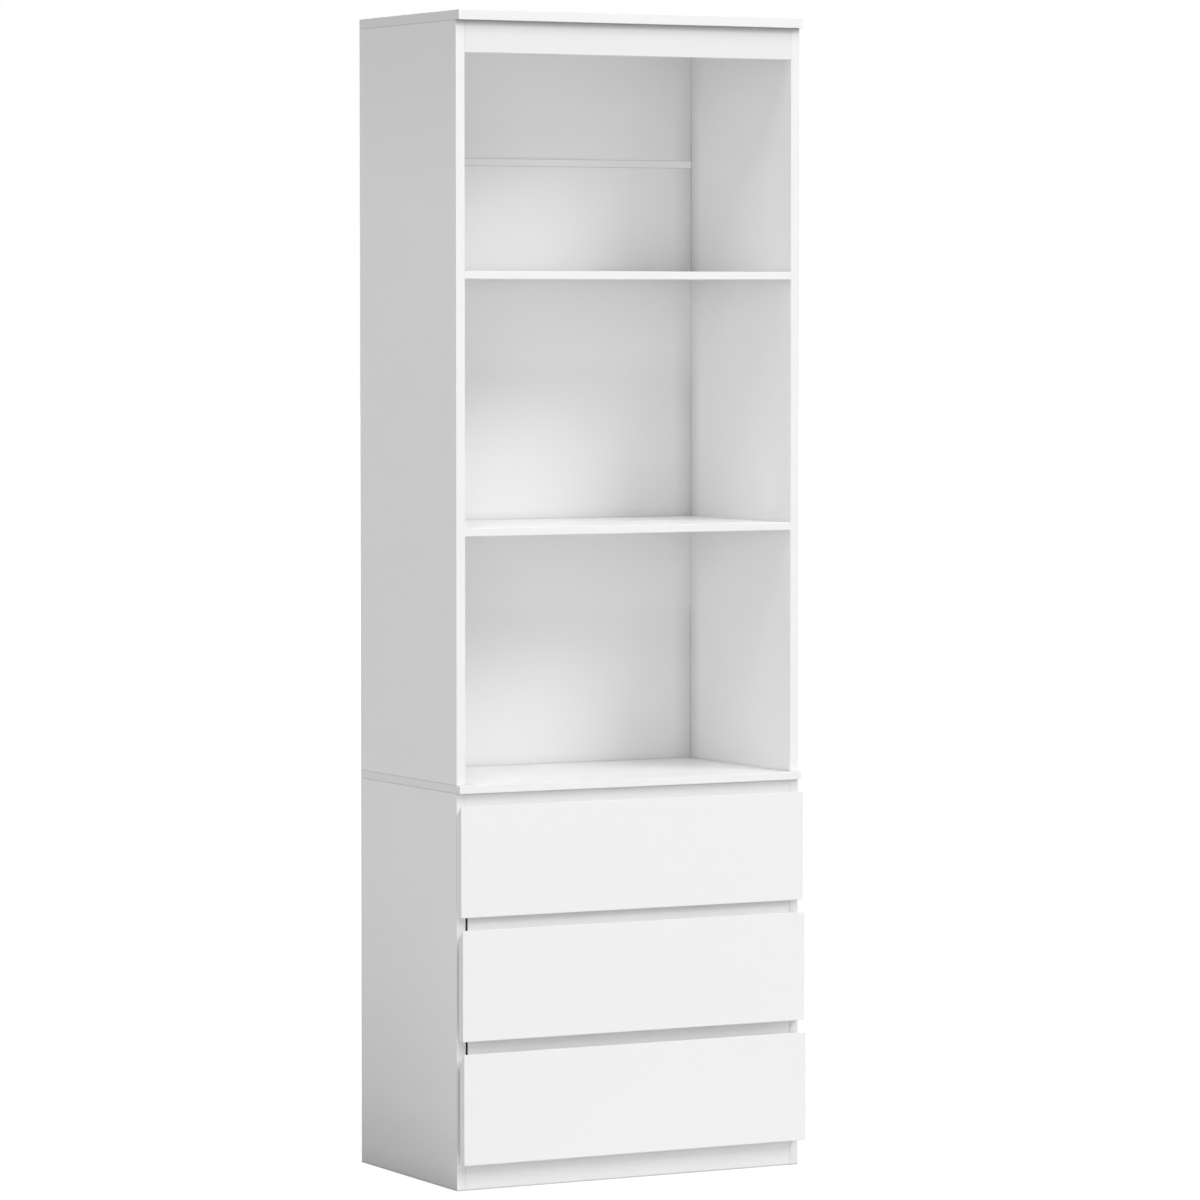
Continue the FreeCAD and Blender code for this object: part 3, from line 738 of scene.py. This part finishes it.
def pin_tree():
    """Riveted pins: a shank and a head with a softened rim."""
    inputs = new_tree("roller_pins", ("Radius", "Length", "Head Radius", "Head Height"))
    radius, length = inputs["Radius"], inputs["Length"]
    shank = turned(radius, radius, radius, length, ROUND_SIDES)
    head = turned(radius, inputs["Head Radius"], inputs["Head Radius"] * PIN_CROWN,
                  inputs["Head Height"], ROUND_SIDES)
    head = radius.node("GeometryNodeTransform", None,
                       {"Geometry": head, "Translation": vector(radius, z=length)})
    both = radius.node("GeometryNodeJoinGeometry", None, {"Geometry": shank})
    radius.tree.links.new(head.socket, both.socket.node.inputs["Geometry"])
    return spread(inputs, both)


def grow(name, tree, places, sizes, finish, body):
    """Runs a tree on points with directions, and keeps one plain mesh on a body."""
    mesh = bpy.data.meshes.new(name)
    mesh.from_pydata([place for place, _, _ in places], [], [])
    for index, label in ((1, "faces"), (2, "along")):
        ways = mesh.attributes.new(label, "FLOAT_VECTOR", "POINT")
        ways.data.foreach_set("vector", [part for place in places for part in place[index]])
    carrier = bpy.data.objects.new(name, mesh)
    bpy.context.scene.collection.objects.link(carrier)
    modifier = carrier.modifiers.new("grow", "NODES")
    modifier.node_group = tree
    for item in tree.interface.items_tree:
        if item.name in sizes:
            modifier[item.identifier] = sizes[item.name]
        elif item.name == "Finish":
            modifier[item.identifier] = finish
    bpy.context.view_layer.update()
    evaluated = carrier.evaluated_get(bpy.context.evaluated_depsgraph_get())
    made = bpy.data.meshes.new_from_object(evaluated)
    carrier.modifiers.clear()
    carrier.data = made
    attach(carrier, body)
    return carrier


UP, DOWN = (0.0, 0.0, 1.0), (0.0, 0.0, -1.0)
FRONT, REAR = (0.0, -1.0, 0.0), (0.0, 1.0, 0.0)
FITTING_INSET = 50 * MILLIMETRE
CAM_SETBACK = 24 * MILLIMETRE
CAM_RADIUS = 5.9 * MILLIMETRE
CAM_FLOOR = 2.5 * MILLIMETRE
BOLT_SLOT = 6.2 * MILLIMETRE


def cam_places():
    """Every cam as (floor of its pocket, way that it faces, way to the joint), by
    the depth of its pocket."""
    found = {}

    def add(mouth, faces, along, thickness):
        deep = thickness - CAM_FLOOR
        foot = Vector(mouth) - Vector(faces) * deep
        found.setdefault(round(deep, 5), []).append((foot, faces, along))

    back_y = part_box("main_back_panel")[0][1]
    for side, sign in SIDES.items():
        inward, outward = (-sign, 0.0, 0.0), (sign, 0.0, 0.0)
        for level in ("upper", "lower"):
            low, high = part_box(f"{side}_{level}_side")
            face_x = high[0] if side == "left" else low[0]
            for y in (low[1] + FITTING_INSET, back_y - FITTING_INSET):
                add((face_x, y, high[2] - CAM_SETBACK), inward, UP, high[0] - low[0])
        for shelf in ("upper_shelf", "lower_shelf"):
            low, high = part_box(shelf)
            end_x = low[0] + CAM_SETBACK if side == "left" else high[0] - CAM_SETBACK
            add((end_x, low[1] + FITTING_INSET, low[2]), DOWN, outward, high[2] - low[2])
        for plinth, faces in (("front_plinth", REAR), ("rear_plinth", FRONT)):
            low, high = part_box(plinth)
            end_x = low[0] + CAM_SETBACK if side == "left" else high[0] - CAM_SETBACK
            face_y = high[1] if faces == REAR else low[1]
            add((end_x, face_y, (low[2] + high[2]) / 2), faces, outward, high[1] - low[1])
    return found


RUNNER_METAL = 1.2 * MILLIMETRE
PIN_RADIUS = 2.5 * MILLIMETRE
PIN_LENGTH = 7.9 * MILLIMETRE
PIN_HEAD_RADIUS = 4.0 * MILLIMETRE
PIN_HEAD = 0.8 * MILLIMETRE


def web_face(drawer, side, kind):
    """The bare face of a runner's upright web, as its x and the way that it faces."""
    sign = SIDES[side]
    if kind == "cabinet":
        low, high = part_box(f"{drawer}_{side}_cabinet_runner")
        x = high[0] - RUNNER_METAL if sign > 0 else low[0] + RUNNER_METAL
        return x, (-sign, 0.0, 0.0)
    low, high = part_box(f"{drawer}_drawer_{side}_side")
    x = high[0] + RUNNER_METAL if sign > 0 else low[0] - RUNNER_METAL
    return x, (sign, 0.0, 0.0)


def pin_places(drawer, kind):
    """Both pins of a pair of rollers, from the webs that they are riveted to."""
    low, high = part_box(f"{drawer}_{kind}_rollers")
    axle_y, axle_z = (low[1] + high[1]) / 2, (low[2] + high[2]) / 2
    places = []
    for side in SIDES:
        x, faces = web_face(drawer, side, kind)
        places.append((Vector((x, axle_y, axle_z)), faces, UP))
    return places


SCREW_RADIUS = 3.4 * MILLIMETRE
SCREW_HEIGHT = 0.7 * MILLIMETRE
BOX_SCREW_RADIUS = 3.0 * MILLIMETRE
BOX_SCREW_HEIGHT = 0.4 * MILLIMETRE
PLATE_SCREW_RADIUS = 1.75 * MILLIMETRE
PLATE_SCREW_SUNK = 0.8 * MILLIMETRE
PLATE_HOLE_INSET = 10 * MILLIMETRE
TACK_RADIUS = 2.0 * MILLIMETRE
TACK_HEIGHT = 0.5 * MILLIMETRE
TACK_INSET = 12 * MILLIMETRE           # below the rear plinth's upper edge
TACKS_ACROSS = 5
RUNNER_SCREWS = (0.16, 0.50, 0.84)     # shares of a runner's length
BOX_SCREWS = (0.35, 0.80)              # shares of a drawer side's height
PLATE_SCREW_HEAD = 0.6                 # share of its depth in the plate


def runner_screw_places(drawer, kind):
    """Screws through the webs of a drawer's pair of runners."""
    places = []
    for side in SIDES:
        low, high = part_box(f"{drawer}_{side}_{kind}_runner")
        x, faces = web_face(drawer, side, kind)
        for share in RUNNER_SCREWS:
            y = low[1] + (high[1] - low[1]) * share
            places.append((Vector((x, y, (low[2] + high[2]) / 2)), faces, UP))
    return places


def box_screw_places(drawer):
    """Two screws through each drawer side into the drawer's back."""
    places = []
    back_low, back_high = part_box(f"{drawer}_drawer_back")
    y = (back_low[1] + back_high[1]) / 2
    for side, sign in SIDES.items():
        low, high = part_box(f"{drawer}_drawer_{side}_side")
        x = high[0] if sign > 0 else low[0]
        for share in BOX_SCREWS:
            z = low[2] + (high[2] - low[2]) * share
            places.append((Vector((x, y, z)), (sign, 0.0, 0.0), UP))
    return places


def plate_screw_places():
    """Two screws in each tie plate, sunk in its holes."""
    low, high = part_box("back_tie_plates")
    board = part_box("right_upper_side")
    x = (board[0][0] + board[1][0]) / 2
    y = high[1] - PLATE_SCREW_SUNK
    return [(Vector((sign * x, y, z)), REAR, UP)
            for sign in SIDES.values()
            for z in (low[2] + PLATE_HOLE_INSET, high[2] - PLATE_HOLE_INSET)]


def tack_places():
    """Rows of tacks through the backs into the shelves and the rear plinth."""
    places = []
    for board, panel in (("upper_shelf", "main_back_panel"), ("lower_shelf", "main_back_panel"),
                         ("rear_plinth", "chest_back_panel")):
        low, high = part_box(board)
        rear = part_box(panel)[1][1]
        z = (low[2] + high[2]) / 2
        if board == "rear_plinth":
            z = high[2] - TACK_INSET
        for index in range(TACKS_ACROSS):
            share = (index + 0.5) / TACKS_ACROSS
            x = low[0] + (high[0] - low[0]) * share
            places.append((Vector((x, rear, z)), REAR, UP))
    return places


def make_fasteners():
    """Screws and tacks, and the cams and pins that take the place of the plain ones."""
    plate = bpy.data.materials["zinc_plate"]
    casting = bpy.data.materials["zinc_casting"]
    screws, tacks, cams, pins = screw_tree(), tack_tree(), cam_tree(), pin_tree()
    runner_size = {"Radius": SCREW_RADIUS, "Height": SCREW_HEIGHT}
    plate_size = {"Radius": PLATE_SCREW_RADIUS, "Height": PLATE_SCREW_SUNK * PLATE_SCREW_HEAD}
    tack_size = {"Radius": TACK_RADIUS, "Height": TACK_HEIGHT}
    box_size = {"Radius": BOX_SCREW_RADIUS, "Height": BOX_SCREW_HEIGHT}
    pin_size = {"Radius": PIN_RADIUS, "Length": PIN_LENGTH,
                "Head Radius": PIN_HEAD_RADIUS, "Head Height": PIN_HEAD}

    def steel(name, tree, places, sizes, body="carcass"):
        """Small steel pieces with the zinc finish, kept on a body."""
        return grow(name, tree, places, sizes, plate, body)

    steel("cabinet_runner_screws", screws,
          [place for drawer in DRAWERS for place in runner_screw_places(drawer, "cabinet")],
          runner_size)
    steel("tie_plate_screws", screws, plate_screw_places(), plate_size)
    steel("back_panel_tacks", tacks, tack_places(), tack_size)
    for depth, places in cam_places().items():
        name = f"cams_{round(depth / MILLIMETRE)}_deep"
        sizes = {"Radius": CAM_RADIUS, "Depth": depth, "Slot": BOLT_SLOT,
                 "Bolt Height": (depth - CAM_FLOOR) / 2}
        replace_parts(grow(name, cams, places, sizes, casting, "carcass"),
                    "cam_locks")
    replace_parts(steel("round_cabinet_pins", pins,
                      [place for drawer in DRAWERS for place in pin_places(drawer, "cabinet")],
                      pin_size), "cabinet_roller_pins")
    for drawer in DRAWERS:
        body = f"{drawer}_drawer"
        steel(f"{drawer}_drawer_runner_screws", screws,
              runner_screw_places(drawer, "drawer"), runner_size, body)
        steel(f"{drawer}_drawer_box_screws", screws, box_screw_places(drawer), box_size, body)
        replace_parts(steel(f"{drawer}_drawer_round_pins", pins, pin_places(drawer, "drawer"),
                          pin_size, body), f"{drawer}_drawer_roller_pins")


# ---------------------------------------------------------------- studio

CAMERA_PLACE = (-4.1614, -7.9561, 1.34917)
CAMERA_TURN = 27.784           # to the right of straight on, in degrees
CAMERA_DROP = 2.914            # below the horizontal
CAMERA_LENS = 171.63
SENSOR = 36.0
CLIP_START = 0.1
CLIP_END = 200.0


def make_camera():
    """A long lens from the left, level with the bays and looking slightly down."""
    camera = bpy.data.cameras.new("camera")
    camera.sensor_width = SENSOR
    camera.sensor_fit = "HORIZONTAL"
    camera.lens = CAMERA_LENS
    camera.clip_start = CLIP_START
    camera.clip_end = CLIP_END
    holder = bpy.data.objects.new("camera", camera)
    bpy.context.scene.collection.objects.link(holder)
    holder.location = CAMERA_PLACE
    holder.rotation_euler = (math.radians(90.0 - CAMERA_DROP), 0.0, math.radians(-CAMERA_TURN))
    bpy.context.scene.camera = holder


def seen_directly(start):
    """1 where the camera, a mirror or clear glass looks at this, and 0 for its light."""
    path = start.node("ShaderNodeLightPath").socket.node.outputs
    direct = Shade(start.tree, path["Is Camera Ray"])
    for ray in ("Is Glossy Ray", "Is Transmission Ray"):
        direct = direct.either(Shade(start.tree, path[ray]))
    return direct


AMBIENT = 0.20                 # the light that the world gives, where it is seen as 1


def make_world():
    """A plain white background, which lights the piece much less than it shows."""
    world = bpy.data.worlds.new("studio")
    bpy.context.scene.world = world
    world.use_nodes = True
    tree = world.node_tree
    start = Shade(tree)
    direct = seen_directly(start)
    background = tree.nodes["Background"]
    background.inputs["Color"].default_value = (1.0, 1.0, 1.0, 1.0)
    tree.links.new((direct * (1.0 - AMBIENT) + AMBIENT).socket, background.inputs["Strength"])


FLOOR_REACH = 60.0
FLOOR_GREY = 0.70
FLOOR_DROP = 0.2 * MILLIMETRE  # below the piece's feet, so that the two never mix
FLOOR_SHADOW = 0.22            # share of the near floor's look that takes shadows
FLOOR_FADE = 4.0               # distance at which the floor is plain white
FLOOR_LIFT = 0.15              # what the camera sees above white, to fill up that share


def make_floor():
    """A pale floor that runs out into the white background, with soft shadows."""
    mesh = bpy.data.meshes.new("floor")
    reach, level = FLOOR_REACH, -FLOOR_DROP
    corners = [(-reach, -reach, level), (reach, -reach, level),
               (reach, reach, level), (-reach, reach, level)]
    mesh.from_pydata(corners, [], [(0, 1, 2, 3)])
    floor = bpy.data.objects.new("floor", mesh)
    bpy.context.scene.collection.objects.link(floor)
    material = bpy.data.materials.new("floor")
    material.use_nodes = True
    tree = material.node_tree
    tree.nodes.clear()
    start = Shade(tree)
    matt = start.node("ShaderNodeBsdfDiffuse", None, {"Color": grey(FLOOR_GREY)})
    lift = start.node("ShaderNodeLightPath") * FLOOR_LIFT + 1.0
    glow = start.node("ShaderNodeEmission", None, {"Color": grey(1.0), "Strength": lift})
    x, y, _ = start.node("ShaderNodeTexCoord", output=3).axes()
    away = (x * x + y * y).maths("SQRT")
    near = (1.0 - away / FLOOR_FADE).held()
    share = seen_directly(start) * (1.0 - near * FLOOR_SHADOW)
    mixed = start.node("ShaderNodeMixShader", None, {0: share, 1: matt, 2: glow})
    start.node("ShaderNodeOutputMaterial", None, {"Surface": mixed})
    mesh.materials.append(material)


LAMP_AIM = Vector((0.0, 0.0, 0.9))
LAMP_DISTANCE = 28.0
LAMP_SIZE = 13.0
# name: (azimuth to the right of the front, elevation, radiance)
LAMPS = {
    "key": (35.0, 35.0, 6.45),
    "top": (0.0, 89.0, 1.3),
    "left_high": (-30.0, 58.0, 4.4),
    "left_middle": (-30.0, 22.0, 0.88),
    "left_low": (-30.0, 5.0, 2.34),
    "left": (-90.0, 35.0, 0.3),
    "right": (95.0, 10.0, 3.5),
    "rear": (170.0, 10.0, 6.0),
}


def make_lamps():
    """Square softboxes round the piece, each with the radiance that its face gives."""
    for name, (azimuth, elevation, radiance) in LAMPS.items():
        lamp = bpy.data.lights.new(name, "AREA")
        lamp.shape = "SQUARE"
        lamp.size = LAMP_SIZE
        lamp.energy = radiance * math.pi * LAMP_SIZE ** 2
        holder = bpy.data.objects.new(name, lamp)
        round_by, up_by = math.radians(azimuth), math.radians(elevation)
        away = Vector((math.sin(round_by) * math.cos(up_by),
                       -math.cos(round_by) * math.cos(up_by), math.sin(up_by)))
        holder.location = LAMP_AIM + away * LAMP_DISTANCE
        holder.rotation_euler = (-away).to_track_quat("-Z", "Y").to_euler()
        holder.visible_camera = False
        bpy.context.scene.collection.objects.link(holder)


# ---------------------------------------------------------------- the scene

paint_boards()
paint_rest()
soften_edges()
make_fasteners()
make_camera()
make_world()
make_floor()
make_lamps()
bpy.context.scene.view_settings.view_transform = "Standard"

bpy.context.view_layer.update()
